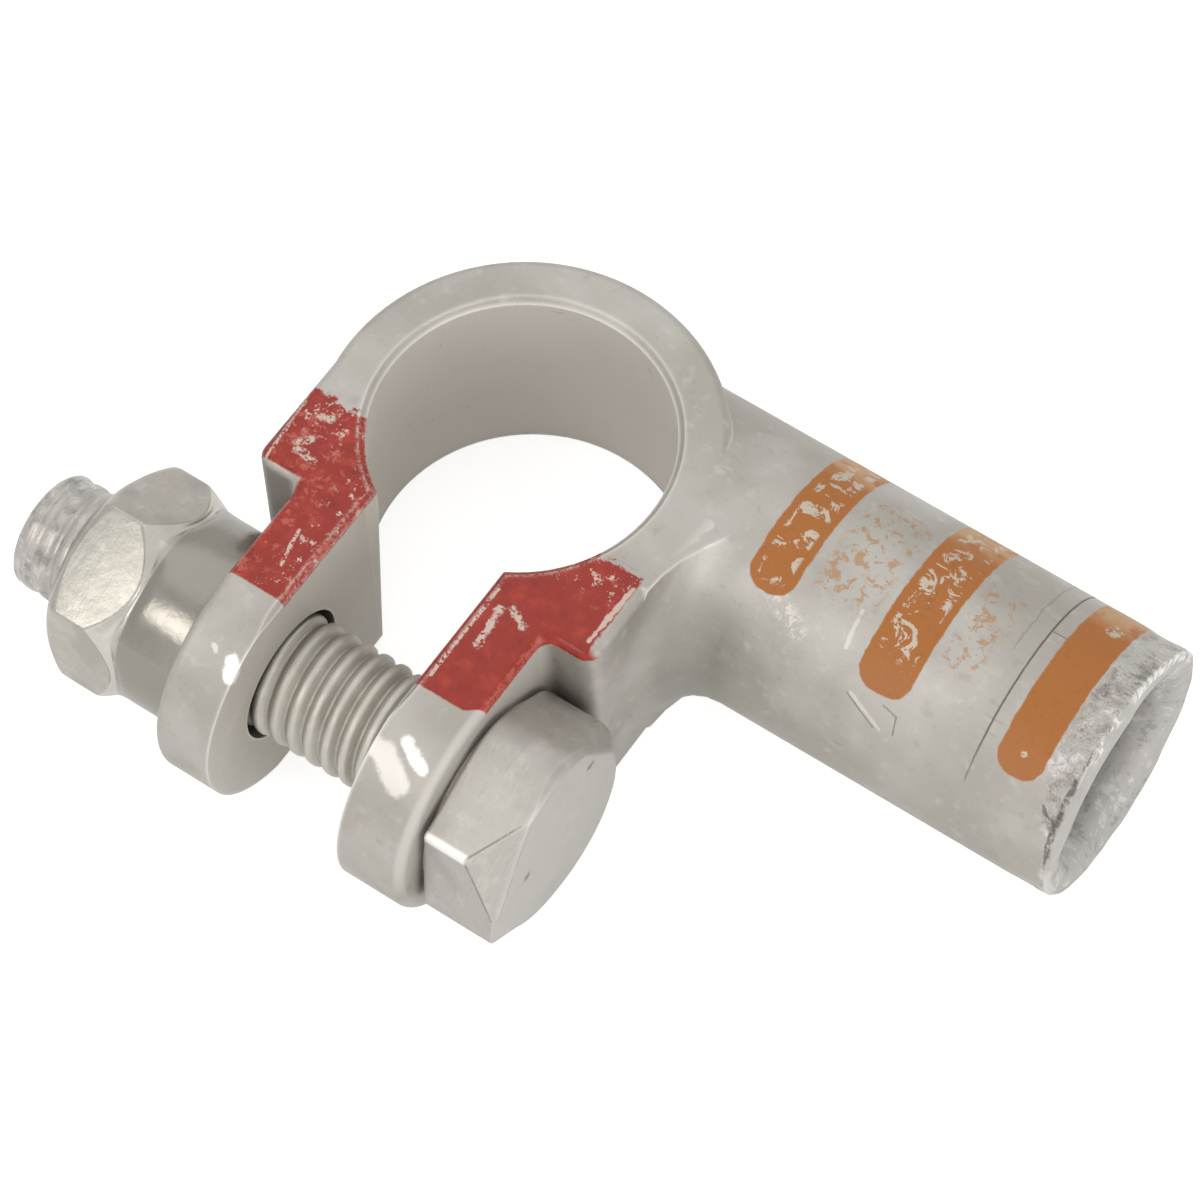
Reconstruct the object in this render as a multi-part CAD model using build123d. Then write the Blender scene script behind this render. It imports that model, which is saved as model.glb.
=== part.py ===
from build123d import *
import math
import os

# Frame: origin on the post bore's axis at the lower face, +Z up, +X towards the barrel's mouth, ears towards -Y

# Clamp ring and the bore for the tapered battery post
BODY_H = 16.6
RING_R = 12.45
POST_TOP_R = 9.3
POST_LAND = 2.0
POST_TAPER = 1.0 / 9.0
POST_CHAMFER = 0.4

# Ears: the bolt's axis is at half height, and the ears' ends are round about it
AXIS_Z = BODY_H / 2
BOLT_Y = -17.4
EAR_END_R = BODY_H / 2
EAR_OUT_X = 8.95
SLIT_LEFT_X = -4.9
SLIT_RIGHT_X = 4.45
SHOULDER_X = 12.3
SHOULDER_LEFT_Y = -10.1
SHOULDER_RIGHT_Y = -10.5
SHOULDER_R = 1.1
NOTCH_R = 0.9
EAR_HOLE_R = 4.4
EDGE_R = 0.65
SLIT_BEVEL = 0.35

# Cable barrel: its crest is level with the ring's upper face
BARREL_R = BODY_H / 2
BARREL_Y = 4.3
ROOT_X = 4.0
MOUTH_X = 39.6
MOUTH_ROUND = 0.3
CABLE_R = 5.75
CABLE_DEPTH = 23.5
CABLE_CHAMFER = 0.9
DRILL_TIP = 118.0
NECK_R = 4.0
NECK_STEPS = 6
LIP_STEPS = 3

# Hex bolt M8 and collar nut M8; the helical thread itself is not cut here
THREAD_R = 3.95
THREAD_END_X = -23.4
THREAD_CHAMFER = 1.2
HEAD_AF = 13.0
SEAT_R = 6.1
SEAT_T = 0.35
HEAD_OUT_X = 14.5
HEAD_TURN = 25.0
HEAD_FLAT_R = 6.3
HEAD_CHAMFER = 40.0
NUT_BORE_R = 4.0
NUT_BORE_CHAMFER = 0.5
COLLAR_R = 6.35
COLLAR_T = 4.2
COVE_T = 1.4
NUT_AF = 12.5
NUT_OUT_X = -19.0
NUT_FLAT_R = 5.9
NUT_TURN = 27.0
NUT_CHAMFER = 30.0

BOLT_AXIS = Plane(origin=(0, BOLT_Y, AXIS_Z), x_dir=(1, 0, 0), z_dir=(0, -1, 0))
BARREL_AXIS = Plane(origin=(0, BARREL_Y, AXIS_Z), x_dir=(1, 0, 0), z_dir=(0, -1, 0))


def block(x0, x1, y0, y1, z0, z1):
    """A box between two corners."""
    return Pos((x0 + x1) / 2, (y0 + y1) / 2, (z0 + z1) / 2) * Box(x1 - x0, y1 - y0, z1 - z0)


def rod(x0, x1, radius, y=BOLT_Y):
    """A round bar along X at the height of the bolt and barrel."""
    return Pos(x0, y, AXIS_Z) * Rot(0, 90, 0) * Cylinder(
        radius, x1 - x0, align=(Align.CENTER, Align.CENTER, Align.MIN)
    )


def turned(plane, points):
    """A body turned about the X axis of a plane, from (x, radius) points."""
    outline = Polyline([(x, r) for x, r in points], close=True)
    return revolve(plane * make_face(outline), Axis(plane.origin, (1, 0, 0)))


def corner_radius(across_flats):
    """The distance from a hexagon's centre to its sharp corners."""
    return across_flats / math.sqrt(3)


def hex_bar(x0, x1, across_flats, turn):
    """A hexagonal bar along the bolt's axis, with one corner turned by some degrees above +Y."""
    reach = corner_radius(across_flats)
    corners = [
        (BOLT_Y + reach * math.cos(math.radians(turn + 60 * k)),
         AXIS_Z + reach * math.sin(math.radians(turn + 60 * k)))
        for k in range(6)
    ]
    face = Plane(origin=(x0, 0, 0), x_dir=(0, 1, 0), z_dir=(1, 0, 0)) * make_face(Polyline(corners, close=True))
    return extrude(face, x1 - x0)


def round_corner(centre_x, centre_r, radius, start, end, steps):
    """Points along an arc in an (x, radius) outline, from one angle to another."""
    angles = [math.radians(start + (end - start) * k / steps) for k in range(steps + 1)]
    return [(centre_x + radius * math.cos(a), centre_r + radius * math.sin(a)) for a in angles]


def plan_outline():
    """The ring, its straight sides, shoulders and ears, seen from above and filled."""
    ear_end_y = BOLT_Y - EAR_END_R - 1
    ring = Circle(RING_R)
    sides = Polyline(
        (-SHOULDER_X, 0),
        (-SHOULDER_X, SHOULDER_LEFT_Y),
        (-EAR_OUT_X, SHOULDER_LEFT_Y),
        (-EAR_OUT_X, ear_end_y),
        (EAR_OUT_X, ear_end_y),
        (EAR_OUT_X, SHOULDER_RIGHT_Y),
        (SHOULDER_X, SHOULDER_RIGHT_Y),
        (SHOULDER_X, 0),
        close=True,
    )
    return ring + make_face(sides)


def side_outline():
    """The clamp seen along the bolt: a bar whose front end is round about the bolt."""
    length = RING_R - BOLT_Y
    bar = Pos(BOLT_Y + length / 2, AXIS_Z) * Rectangle(length, BODY_H)
    return bar + Pos(BOLT_Y, AXIS_Z) * Circle(EAR_END_R)


def ring_and_ears():
    """The casting without its barrel, with rounded corners, before the bore and slit."""
    plate = extrude(plan_outline(), BODY_H)
    side_plane = Plane(origin=(-20, 0, 0), x_dir=(0, 1, 0), z_dir=(1, 0, 0))
    plate = plate & extrude(side_plane * side_outline(), 40)
    upright = plate.edges().filter_by(Axis.Z)
    corners = upright.filter_by(lambda e: abs(abs(e.center().X) - SHOULDER_X) < 0.01 and e.center().Y < -5)
    plate = fillet(corners, SHOULDER_R)
    upright = plate.edges().filter_by(Axis.Z)
    notches = upright.filter_by(
        lambda e: abs(abs(e.center().X) - EAR_OUT_X) < 0.01 and abs(e.center().Y - SHOULDER_LEFT_Y) < 1
    )
    return fillet(notches, NOTCH_R)


def rim_edges(plate):
    """The outer edges that a casting has rounded: round the top and lower faces and the ears' ends."""
    flat = [e for e in plate.edges() if abs(e.center().Z - BODY_H) < 0.01 or abs(e.center().Z) < 0.01]
    flat = [e for e in flat if not (abs(e.center().X) < 0.01 and e.center().Y < BOLT_Y + 0.01)]
    ends = [e for e in plate.edges() if e.geom_type == GeomType.CIRCLE
            and abs(abs(e.center().X) - EAR_OUT_X) < 0.01 and e.center().Y < BOLT_Y - 1]
    return flat + ends


def neck():
    """The concave blend from the barrel to the right arm, level with the ring's two faces."""
    mid_x = SHOULDER_X + NECK_R
    wide_r = BARREL_R + NECK_R
    sweep = round_corner(mid_x, wide_r, NECK_R, 180, 270, NECK_STEPS)
    flare = turned(BARREL_AXIS, [(ROOT_X, 0), (ROOT_X, wide_r)] + sweep + [(mid_x, 0)])
    return flare & block(ROOT_X, mid_x, BARREL_Y - wide_r, BARREL_Y, 0, BODY_H)


def barrel():
    """The round cable barrel with a rounded lip."""
    lip = round_corner(MOUTH_X - MOUTH_ROUND, BARREL_R - MOUTH_ROUND, MOUTH_ROUND, 90, 0, LIP_STEPS)
    return turned(BARREL_AXIS, [(ROOT_X, 0), (ROOT_X, BARREL_R)] + lip + [(MOUTH_X, 0)])


def post_bore():
    """What the battery post's bore takes away: a short straight land, then a taper that widens downwards."""
    land_z = BODY_H - POST_LAND
    low_r = POST_TOP_R + land_z * POST_TAPER / 2
    points = [
        (0, -1),
        (low_r + POST_TAPER / 2, -1),
        (POST_TOP_R, land_z),
        (POST_TOP_R, BODY_H - POST_CHAMFER),
        (POST_TOP_R + POST_CHAMFER + 1, BODY_H + 1),
        (0, BODY_H + 1),
    ]
    return revolve(Plane.XZ * make_face(Polyline(points, close=True)), Axis.Z)


def cable_bore():
    """What the drill takes out of the barrel, with its tip and the chamfer at the mouth."""
    inner_x = MOUTH_X - CABLE_DEPTH
    tip_x = inner_x - CABLE_R / math.tan(math.radians(DRILL_TIP / 2))
    points = [
        (tip_x, 0),
        (inner_x, CABLE_R),
        (MOUTH_X - CABLE_CHAMFER, CABLE_R),
        (MOUTH_X + 1, CABLE_R + CABLE_CHAMFER + 1),
        (MOUTH_X + 1, 0),
    ]
    return turned(BARREL_AXIS, points)


def slit():
    """The gap between the ears, into the post bore, with a bevel along its upper and lower edges."""
    front_y = BOLT_Y - EAR_END_R - 2
    gap = block(SLIT_LEFT_X, SLIT_RIGHT_X, front_y, 0, -1, BODY_H + 1)
    for side, x in ((-1, SLIT_LEFT_X), (1, SLIT_RIGHT_X)):
        out_x = x + side * (SLIT_BEVEL + 1)
        for z, up in ((0, -1), (BODY_H, 1)):
            wedge = Polyline((x, z - up * SLIT_BEVEL), (out_x, z + up), (x, z + up), close=True)
            face = Plane(origin=(0, 0, 0), x_dir=(1, 0, 0), z_dir=(0, -1, 0)) * make_face(wedge)
            gap += extrude(face, -front_y)
    return gap


def clamp_body():
    """The whole casting: ring, ears, neck and barrel in one piece of metal."""
    plate = ring_and_ears()
    plate = fillet(rim_edges(plate), EDGE_R)
    body = plate + neck() + barrel()
    body -= post_bore()
    body -= cable_bore()
    body -= slit()
    body -= rod(-EAR_OUT_X - 1, EAR_OUT_X + 1, EAR_HOLE_R)
    return body


def clamp_bolt():
    """The hex bolt: chamfered head, raised seat under it, plain shank at the thread's crests."""
    wide_r = corner_radius(HEAD_AF) + 0.1
    corner_drop = (wide_r - HEAD_FLAT_R) * math.tan(math.radians(HEAD_CHAMFER))
    head_x = EAR_OUT_X + SEAT_T
    cap = [
        (head_x, 0),
        (head_x, wide_r),
        (HEAD_OUT_X - corner_drop, wide_r),
        (HEAD_OUT_X, HEAD_FLAT_R),
        (HEAD_OUT_X, 0),
    ]
    head = hex_bar(head_x, HEAD_OUT_X, HEAD_AF, HEAD_TURN) & turned(BOLT_AXIS, cap)
    shank = turned(BOLT_AXIS, [
        (THREAD_END_X, 0),
        (THREAD_END_X, THREAD_R - THREAD_CHAMFER),
        (THREAD_END_X + THREAD_CHAMFER, THREAD_R),
        (head_x + 0.5, THREAD_R),
        (head_x + 0.5, 0),
    ])
    return head + rod(EAR_OUT_X, head_x + 0.5, SEAT_R) + shank


def collar_nut():
    """The nut: a round collar against the ear, a cove up to the hexagon, and both ends chamfered."""
    collar_x = -EAR_OUT_X - COLLAR_T
    wide_r = corner_radius(NUT_AF) + 0.1
    corner_drop = (wide_r - NUT_FLAT_R) * math.tan(math.radians(NUT_CHAMFER))
    limit = turned(BOLT_AXIS, [
        (collar_x, 0),
        (collar_x, COLLAR_R),
        (collar_x - COVE_T, wide_r),
        (NUT_OUT_X + corner_drop, wide_r),
        (NUT_OUT_X, NUT_FLAT_R),
        (NUT_OUT_X, 0),
    ])
    nut = hex_bar(NUT_OUT_X, collar_x, NUT_AF, NUT_TURN) & limit
    nut += rod(collar_x, -EAR_OUT_X, COLLAR_R)
    hole = turned(BOLT_AXIS, [
        (NUT_OUT_X - 1, 0),
        (NUT_OUT_X - 1, NUT_BORE_R + NUT_BORE_CHAMFER + 1),
        (NUT_OUT_X + NUT_BORE_CHAMFER, NUT_BORE_R),
        (-EAR_OUT_X - NUT_BORE_CHAMFER, NUT_BORE_R),
        (-EAR_OUT_X + 1, NUT_BORE_R + NUT_BORE_CHAMFER + 1),
        (-EAR_OUT_X + 1, 0),
    ])
    return nut - hole


def main():
    os.makedirs("parts", exist_ok=True)
    pieces = {"clamp_body": clamp_body(), "clamp_bolt": clamp_bolt(), "collar_nut": collar_nut()}
    for name, shape in pieces.items():
        solids = shape.solids()
        box = shape.bounding_box()
        print(name, len(solids), "solid", round(shape.volume, 1), "mm3, valid", shape.is_valid,
              [round(v, 2) for v in (*box.min, *box.max)])
        export_step(solids[0] if len(solids) == 1 else shape, f"parts/{name}.step")


main()
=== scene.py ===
import math
import bmesh
import bpy
from mathutils import Matrix, Vector, noise


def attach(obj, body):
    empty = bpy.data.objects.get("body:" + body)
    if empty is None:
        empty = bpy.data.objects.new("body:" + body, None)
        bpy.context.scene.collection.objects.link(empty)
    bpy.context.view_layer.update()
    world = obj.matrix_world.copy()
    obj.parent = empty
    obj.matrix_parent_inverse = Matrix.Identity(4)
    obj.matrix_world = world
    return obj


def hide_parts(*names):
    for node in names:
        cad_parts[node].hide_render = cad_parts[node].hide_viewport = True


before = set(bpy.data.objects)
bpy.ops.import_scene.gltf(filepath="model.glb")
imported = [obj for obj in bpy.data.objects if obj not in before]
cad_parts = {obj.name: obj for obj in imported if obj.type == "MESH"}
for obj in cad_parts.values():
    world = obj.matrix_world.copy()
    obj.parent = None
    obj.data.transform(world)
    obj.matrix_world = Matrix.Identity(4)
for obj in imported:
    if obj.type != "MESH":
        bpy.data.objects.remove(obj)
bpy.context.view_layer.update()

MM = 0.001

# Sizes shared with the solids, in millimetres and degrees
BODY_H = 16.6
AXIS_Z = BODY_H / 2
BOLT_Y = -17.4
BARREL_Y = 4.3
BARREL_R = 8.3
CABLE_R = 5.75
MOUTH_X = 39.6
EAR_OUT_X = 8.95
EAR_R = BODY_H / 2
THREAD_R = 3.95
THREAD_ROOT_R = 3.55
THREAD_PITCH = 1.25
THREAD_END_X = -23.4
THREAD_CHAMFER = 1.2
HEAD_AF = 13.0
HEAD_OUT_X = 14.5
HEAD_TURN = 25.0
HEAD_CHAMFER = 40.0
HEAD_CUT_TURN = 150.0
HEAD_CUT_R = 5.2
SEAT_R = 6.1
SEAT_T = 0.35
NUT_AF = 12.5
NUT_OUT_X = -19.0
NUT_FLAT_R = 5.9
NUT_TURN = 27.0
NUT_BORE_R = 4.0
NUT_BORE_CHAMFER = 0.5
COLLAR_R = 6.35
COLLAR_T = 4.2
COLLAR_X = -EAR_OUT_X - COLLAR_T

# How the bolt and the nut are worn and rounded, with a turn as its middle and half its width
HEAD_CORNERS = (3.4, 3.6, 0.22, 0.3, 0.5, 0.6)
HEAD_FLAT_R = 6.3
HEAD_FLAT_LOSS = 0.5
HEAD_FLAT_TURN = (0, 75)
HEAD_FLAT_MIDDLE = 15
HEAD_CONE_LOSS = 0.75
HEAD_CONE_TURN = (55, 35)
HEAD_WEAR_TURN = 35.0
HEAD_WEAR_R = 5.5
HEAD_WEAR_SLOPE = 0.9
HEAD_HIDDEN_R = 3.0
NUT_CORNER = 0.25
COVE_X = COLLAR_X - 0.48
COVE_SLOPE = 1.8
COVE_SLOPE_LOSS = 0.5
COVE_TURN = (207, 30)
THREAD_WORN_X = NUT_OUT_X + 0.8
THREAD_WORN_LENGTH = 3.0
THREAD_WORN_DEPTH = 0.10
THREAD_WORN_LOSS = 0.16
THREAD_END_DROP = 1.35

# How the barrel's lip is hammered: depths, and places with half their width, in degrees from the ears' side
LIP_LENGTH = 3.2
LIP_START_X = MOUTH_X - LIP_LENGTH
LIP_OUTER_R = 7.8
LIP_LEAN = 0.3
LIP_PRESSED = 0.26
LIP_PRESSED_FINE = 0.09
LIP_FOLDED = 0.13
LIP_DENTED = 0.42
LIP_CREASED = 0.20
LIP_CHIPPED = 0.35
LIP_WAVES = 57
DENT_X = (MOUTH_X - 0.85, 0.75)
DENT_TURN = (31, 4.5)
FOLDS_TURN = (99, 17)
UPPER_TURN = (55, 85)
CREASE_TURN = (8, 46)

# The lip from the outside round into the bore: back from the mouth, in from the barrel's outside,
# how hammered and how creased
LIP_RINGS = (
    (2.8, 0.0, 0.1, 0), (2.4, 0.0, 0.3, 0), (2.0, 0.0, 0.6, 0), (1.6, 0.0, 0.8, 0),
    (1.3, 0.0, 1, 0), (1.0, 0.0, 1, 0), (0.7, 0.0, 1, 0), (0.45, 0.0, 1, 0),
    (0.2, 0.0, 0.7, 0), (0.07, 0.03, 0.5, 0.4), (0.0, 0.12, 0.4, 1), (0.0, 0.28, 0.3, 1.3),
    (0.0, 0.42, 0.3, 0.4), (0.0, 0.58, 0.3, 0), (0.02, 0.8, 0.4, 0), (0.05, 1.1, 0.4, 0),
    (0.12, 1.35, 0.4, 0), (0.26, 1.6, 0.4, 0), (0.5, 1.85, 0.3, 0), (0.8, 2.1, 0.3, 0),
    (1.15, 2.32, 0.2, 0), (1.6, 2.45, 0.1, 0), (2.1, 2.53, 0, 0), (2.7, BARREL_R - CABLE_R, 0, 0),
)

# The photograph's view, fitted to the ring, the barrel and the bolt, in metres
CAMERA_LENS = 147.15
CAMERA_PLACE = (0.09329, -0.12072, 0.26400)
CAMERA_RIGHT = (0.8253, 0.5644, -0.0170)
CAMERA_UP = (-0.4836, 0.7221, 0.4947)
CAMERA_BACK = (0.2915, -0.4001, 0.8689)

# The room and its lamps: name, place, size, power and colour, in metres and watts
ROOM_COLOUR = (1.0, 0.995, 0.985, 1.0)
ROOM_LEVEL = 0.84
LAMPS_AIM = (0.012, -0.004, 0.008)
LAMPS = (
    ("key", (-0.126, -0.313, 0.340), 0.16, 0.32, (1.0, 0.985, 0.96)),
    ("top", (-0.14, 0.16, 0.46), 0.45, 0.30, (1.0, 0.99, 0.97)),
    ("side", (0.34, -0.12, 0.12), 0.20, 0.30, (1.0, 0.985, 0.96)),
    ("front", (0.02, -0.42, 0.06), 0.30, 0.11, (1.0, 0.98, 0.97)),
)

# The floor: half its side and its drop in metres, its grey, and its glow to the camera and to metal
FLOOR_HALF = 1.5
FLOOR_DROP = 0.00005
FLOOR_GREY = (0.68, 0.68, 0.68, 1.0)
FLOOR_SEEN = 0.70
FLOOR_MIRRORED = 0.38

# Tones of the tinned casting, as they look from 0 to 255
TIN = (174, 170, 162)
TIN_LIGHT = (188, 185, 179)
TIN_BRIGHT = (203, 200, 195)
TIN_DULL = (156, 151, 143)
# Painted shade: a brownish darkening in crevices, found by ambient occlusion
TIN_CREVICE_SHADE = (130, 120, 106)
TIN_SCRATCH = (150, 144, 135)
TIN_EDGE = (226, 223, 217)
CUT_METAL = (216, 211, 203)
# Painted light: a lighter tone on the ears' outer faces, against the shade of the narrow gaps at the nut
# and the head
EAR_SIDE_PAINTED_LIGHT = (200, 196, 189)
NECK_SHADE = (148, 145, 138)
# Painted highlights on the ears' round ends
SOFT_PAINTED_HIGHLIGHT = (228, 222, 215)
PAINTED_HIGHLIGHT = (246, 242, 236)

# Tones of the barrel and its hammered mouth
# Pale tone of rubbed streaks, also used for a painted highlight by the neck
RUBBED_AND_GLINT = (222, 218, 212)
SCRIBED = (96, 88, 78)
HAMMER_DULL = (160, 156, 149)
HAMMER_PALE = (230, 227, 223)
HAMMER_PIT = (128, 116, 102)
# Painted glints: pale flecks on the hammered end
HAMMER_GLINT = (222, 219, 214)
FOLD = (122, 118, 112)
# Painted light in the funnel and the bore, and painted shade deeper in the bore
FUNNEL_PAINTED_LIGHT = (190, 187, 184)
BORE_PAINTED_LIGHT = (186, 182, 179)
BORE_PAINTED_SHADE = (150, 147, 143)
BORE_PALE = (222, 219, 216)
BORE_DULL = (138, 134, 131)
LIP_FACE = (190, 187, 183)
# Painted shadow: a dark line at the lip face's inner edge, where the bore drops away
LIP_EDGE_SHADOW = (104, 100, 96)
# Painted highlights along the lip's outer rim
LIP_RIM_HIGHLIGHT = (236, 233, 229)
CRACK = (98, 92, 86)

# Tones of the paint
ORANGE = (164, 101, 44)
# Painted shading: the orange bands' low side in a tone of its own, set for how that side is lit
ORANGE_LOW_SHADING = (167, 107, 60)
ORANGE_DARK = (140, 84, 38)
ORANGE_FADED = (186, 150, 104)
ORANGE_STAIN = (180, 134, 86)
ORANGE_BARE = (206, 190, 168)
RED = (146, 42, 30)
RED_PALE = (168, 58, 46)
RED_DEEP = (118, 30, 25)
RED_SCUFFED = (196, 110, 96)
# Painted shade: darker red on the ring's left wall
RED_WALL_SHADE = (112, 44, 34)
# Bare metal under the red, also the tone of painted highlight lines
RED_BARE_AND_GLINT = (212, 186, 172)

# Tones of the zinc-plated bolt and nut
HEAD_ZINC = (186, 182, 176)
# Painted light: the shank's tone lifted above the head's, against the shade between the ears
THREAD_ZINC_LIT = (198, 194, 186)
NUT_ZINC = (176, 172, 164)
ZINC_LIFT, ZINC_DROP = 14, 18
ZINC_BLOT = (120, 112, 104)
# Painted shade: a brownish darkening in the fasteners' crevices, found by ambient occlusion
ZINC_CREVICE_SHADE = (120, 108, 94)
ZINC_EDGE = (232, 229, 222)
HEAD_CREASE = (108, 102, 95)
HEAD_FACE = (200, 196, 192)
# Painted highlight on one worn corner of the head
HEAD_CORNER_HIGHLIGHT = (246, 243, 238)
HEAD_SPOT = (112, 104, 96)
# Painted shade in the thread's roots
ROOT_SHADE = (118, 112, 103)
END_BARE = (178, 175, 170)
END_STREAK = (128, 121, 115)
END_PALE = (222, 219, 215)
# Painted shade: a darker collar, standing for the dark surroundings it would mirror beside its highlight
COLLAR_PAINTED_SHADE = (144, 140, 132)
# Painted light: a paler tone on the nut's cove
COVE_PAINTED_LIGHT = (226, 222, 215)
COVE_LINE = (112, 106, 98)

# Zones of the casting along x or the barrel's arc: where each starts, is full, starts to fade and ends
RING_CUT_R = 10.4
BARREL_START_X = 12.0
SLIT_X = (-5.0, -4.85, 4.45, 4.6)
EAR_SIDE_X = (8.3, 8.7, 9.2, 9.6)
NECK_X = (12.4, 13.6, 15.0, 18.5)
SLIT_EDGE_X = (-7.6, -6.0, -4.8, -4.4)
STAIN_ZONES = (
    ((19.4, 20.2, 23.4, 24.2), (9.0, 10.4, 16.5, 18.0)),
    ((28.2, 29.0, 30.4, 31.4), (8.8, 9.8, 15.5, 17.0)),
)
UPPER_ARC = (-3.0, 4.0, 12.0, 19.0)
FOLDS_ARC = (12.6, 14.0, 17.0, 19.0)
CREST_ARC = (13.0, 14.2, 21.0, 25.0)
SPECKS_ARC = (8.6, 9.6, 11.8, 12.6)
LOW_RIM_ARC = (-5.0, -3.0, -0.4, 0.6)
CRACK_ARC = (0.4, 1.4, 9.2, 10.4)
CRACK_WIDE_ARC = (0.4, 3.6, 6.4, 9.6)

# Orange bands: where each starts and ends along x, and its low and high end in degrees round the barrel
ORANGE_BANDS = ((15.9, 19.0, 56, 150), (24.5, 28.0, 43, 152), (34.1, 37.1, 41, 150))
BAND_CORNER = 1.35

# Single marks, as strokes on flat maps: painted highlights round an ear's end, red from above, others round
# the barrel
BROAD_PAINTED_HIGHLIGHTS = (((4.85, 17.3), (6.9, 18.7)), ((5.4, 17.2), (7.1, 18.5)))
SHARP_PAINTED_HIGHLIGHTS = (
    ((6.2, 16.1), (7.8, 17.05)), ((6.5, 16.3), (7.6, 17.0)),
    ((-5.55, 17.35), (-5.3, 18.2)), ((-5.3, 17.5), (-5.1, 18.3)),
)
PAINTED_HIGHLIGHT_SPECK = (((-6.9, 17.2), (-6.75, 17.3)),)
RED_SCUFFS = (
    ((-10.1, -7.2), (-10.8, -8.0)), ((-10.4, -8.3), (-9.1, -8.5)), ((5.75, -10.4), (6.1, -13.1)),
    ((6.4, -10.1), (7.5, -10.8)), ((-10.6, -5.8), (-9.9, -5.4)),
)
# Painted highlights: thin pale lines along the red edges and bevels
RED_PAINTED_GLINTS = (
    ((4.98, -9.5), (4.98, -16.3)), ((-7.02, -12.7), (-6.85, -13.8)),
    ((-6.85, -13.8), (-6.5, -15.2)), ((-11.62, -9.9), (-12.0, -5.3)),
)
RED_END_RUB = (((11.3, -9.4), (11.5, -5.2)),)
RED_STRIPS = (((8.8, -10.9), (8.8, -16.9)), ((-5.1, -9.5), (-5.1, -16.9)))
LIP_GOUGES = (((38.0, 5.3), (38.5, 4.6)), ((38.8, 4.6), (39.3, 2.6)))
LIP_SMUDGE = (38.75, 4.5, 0.0)
BARREL_SMEAR = (((17.6, 8.7), (18.6, 8.0)), ((18.6, 8.0), (20.3, 7.1)))
BARREL_STREAKS = (
    ((23.4, 7.7), (23.25, 8.6)), ((23.25, 8.6), (23.2, 10.0)), ((24.8, 5.4), (27.2, 4.2)),
)
# A painted highlight: a pale streak on the barrel by the neck
NECK_PAINTED_GLINT = (((12.0, 7.8), (12.75, 9.8)),)
BARREL_HAIRLINES = (
    ((26.9, 5.75), (27.9, 5.5)), ((27.9, 5.5), (28.1, 4.3)), ((24.6, 5.3), (26.8, 4.1)),
    ((33.2, 14.9), (34.3, 14.9)), ((10.9, 16.6), (11.6, 17.3)),
)
SCRIBED_X = 33.1
FAINT_LINE_X = 31.9
BAND_CHIP = (35.9, 17.6, 0.0)
BAND_FLECK = (35.6, 7.5, 0.0)
HEAD_SPOTS = ((14.5, -14.1, 11.9), (14.5, -20.7, 8.5))


# Camera, floor and lights

def add_camera():
    """The photograph's view: the clamp seen from above its front right."""
    data = bpy.data.cameras.new("camera")
    data.lens = CAMERA_LENS
    data.sensor_width = 36.0
    data.clip_start = 0.01
    camera = bpy.data.objects.new("camera", data)
    turn = Matrix((CAMERA_RIGHT, CAMERA_UP, CAMERA_BACK)).transposed().to_4x4()
    camera.matrix_world = Matrix.Translation(CAMERA_PLACE) @ turn
    bpy.context.scene.collection.objects.link(camera)
    bpy.context.scene.camera = camera


def add_lights():
    """A pale room with four soft square lamps that look at the clamp."""
    world = bpy.data.worlds.new("room")
    bpy.context.scene.world = world
    world.use_nodes = True
    room = world.node_tree.nodes["Background"]
    room.inputs["Color"].default_value = ROOM_COLOUR
    room.inputs["Strength"].default_value = ROOM_LEVEL
    for name, place, size, power, colour in LAMPS:
        data = bpy.data.lights.new(name, "AREA")
        data.size = size
        data.energy = power
        data.color = colour
        lamp = bpy.data.objects.new(name, data)
        aim = Vector(LAMPS_AIM) - Vector(place)
        lamp.matrix_world = Matrix.Translation(place) @ aim.to_track_quat("-Z", "Y").to_matrix().to_4x4()
        bpy.context.scene.collection.objects.link(lamp)


def add_floor():
    """A pale floor: white to the camera and to reflections, and still shaded by the clamp."""
    mesh = bpy.data.meshes.new("floor")
    sides = [(-1, -1), (1, -1), (1, 1), (-1, 1)]
    mesh.from_pydata([(x * FLOOR_HALF, y * FLOOR_HALF, -FLOOR_DROP) for x, y in sides], [], [(0, 1, 2, 3)])
    floor = bpy.data.objects.new("floor", mesh)
    bpy.context.scene.collection.objects.link(floor)
    material = bpy.data.materials.new("pale_floor")
    material.use_nodes = True
    tree = material.node_tree
    tree.nodes.clear()
    out = tree.nodes.new("ShaderNodeOutputMaterial")
    add = tree.nodes.new("ShaderNodeAddShader")
    diffuse = tree.nodes.new("ShaderNodeBsdfDiffuse")
    diffuse.inputs["Color"].default_value = FLOOR_GREY
    glow = tree.nodes.new("ShaderNodeEmission")
    path = tree.nodes.new("ShaderNodeLightPath")
    mirrored = tree.nodes.new("ShaderNodeMath")
    mirrored.operation = "MULTIPLY"
    mirrored.inputs[1].default_value = FLOOR_MIRRORED
    level = tree.nodes.new("ShaderNodeMath")
    level.operation = "MULTIPLY_ADD"
    level.inputs[1].default_value = FLOOR_SEEN
    tree.links.new(path.outputs["Is Glossy Ray"], mirrored.inputs[0])
    tree.links.new(path.outputs["Is Camera Ray"], level.inputs[0])
    tree.links.new(mirrored.outputs[0], level.inputs[2])
    tree.links.new(level.outputs[0], glow.inputs["Strength"])
    tree.links.new(diffuse.outputs[0], add.inputs[0])
    tree.links.new(glow.outputs[0], add.inputs[1])
    tree.links.new(add.outputs[0], out.inputs["Surface"])
    mesh.materials.append(material)


# Shapes

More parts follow.
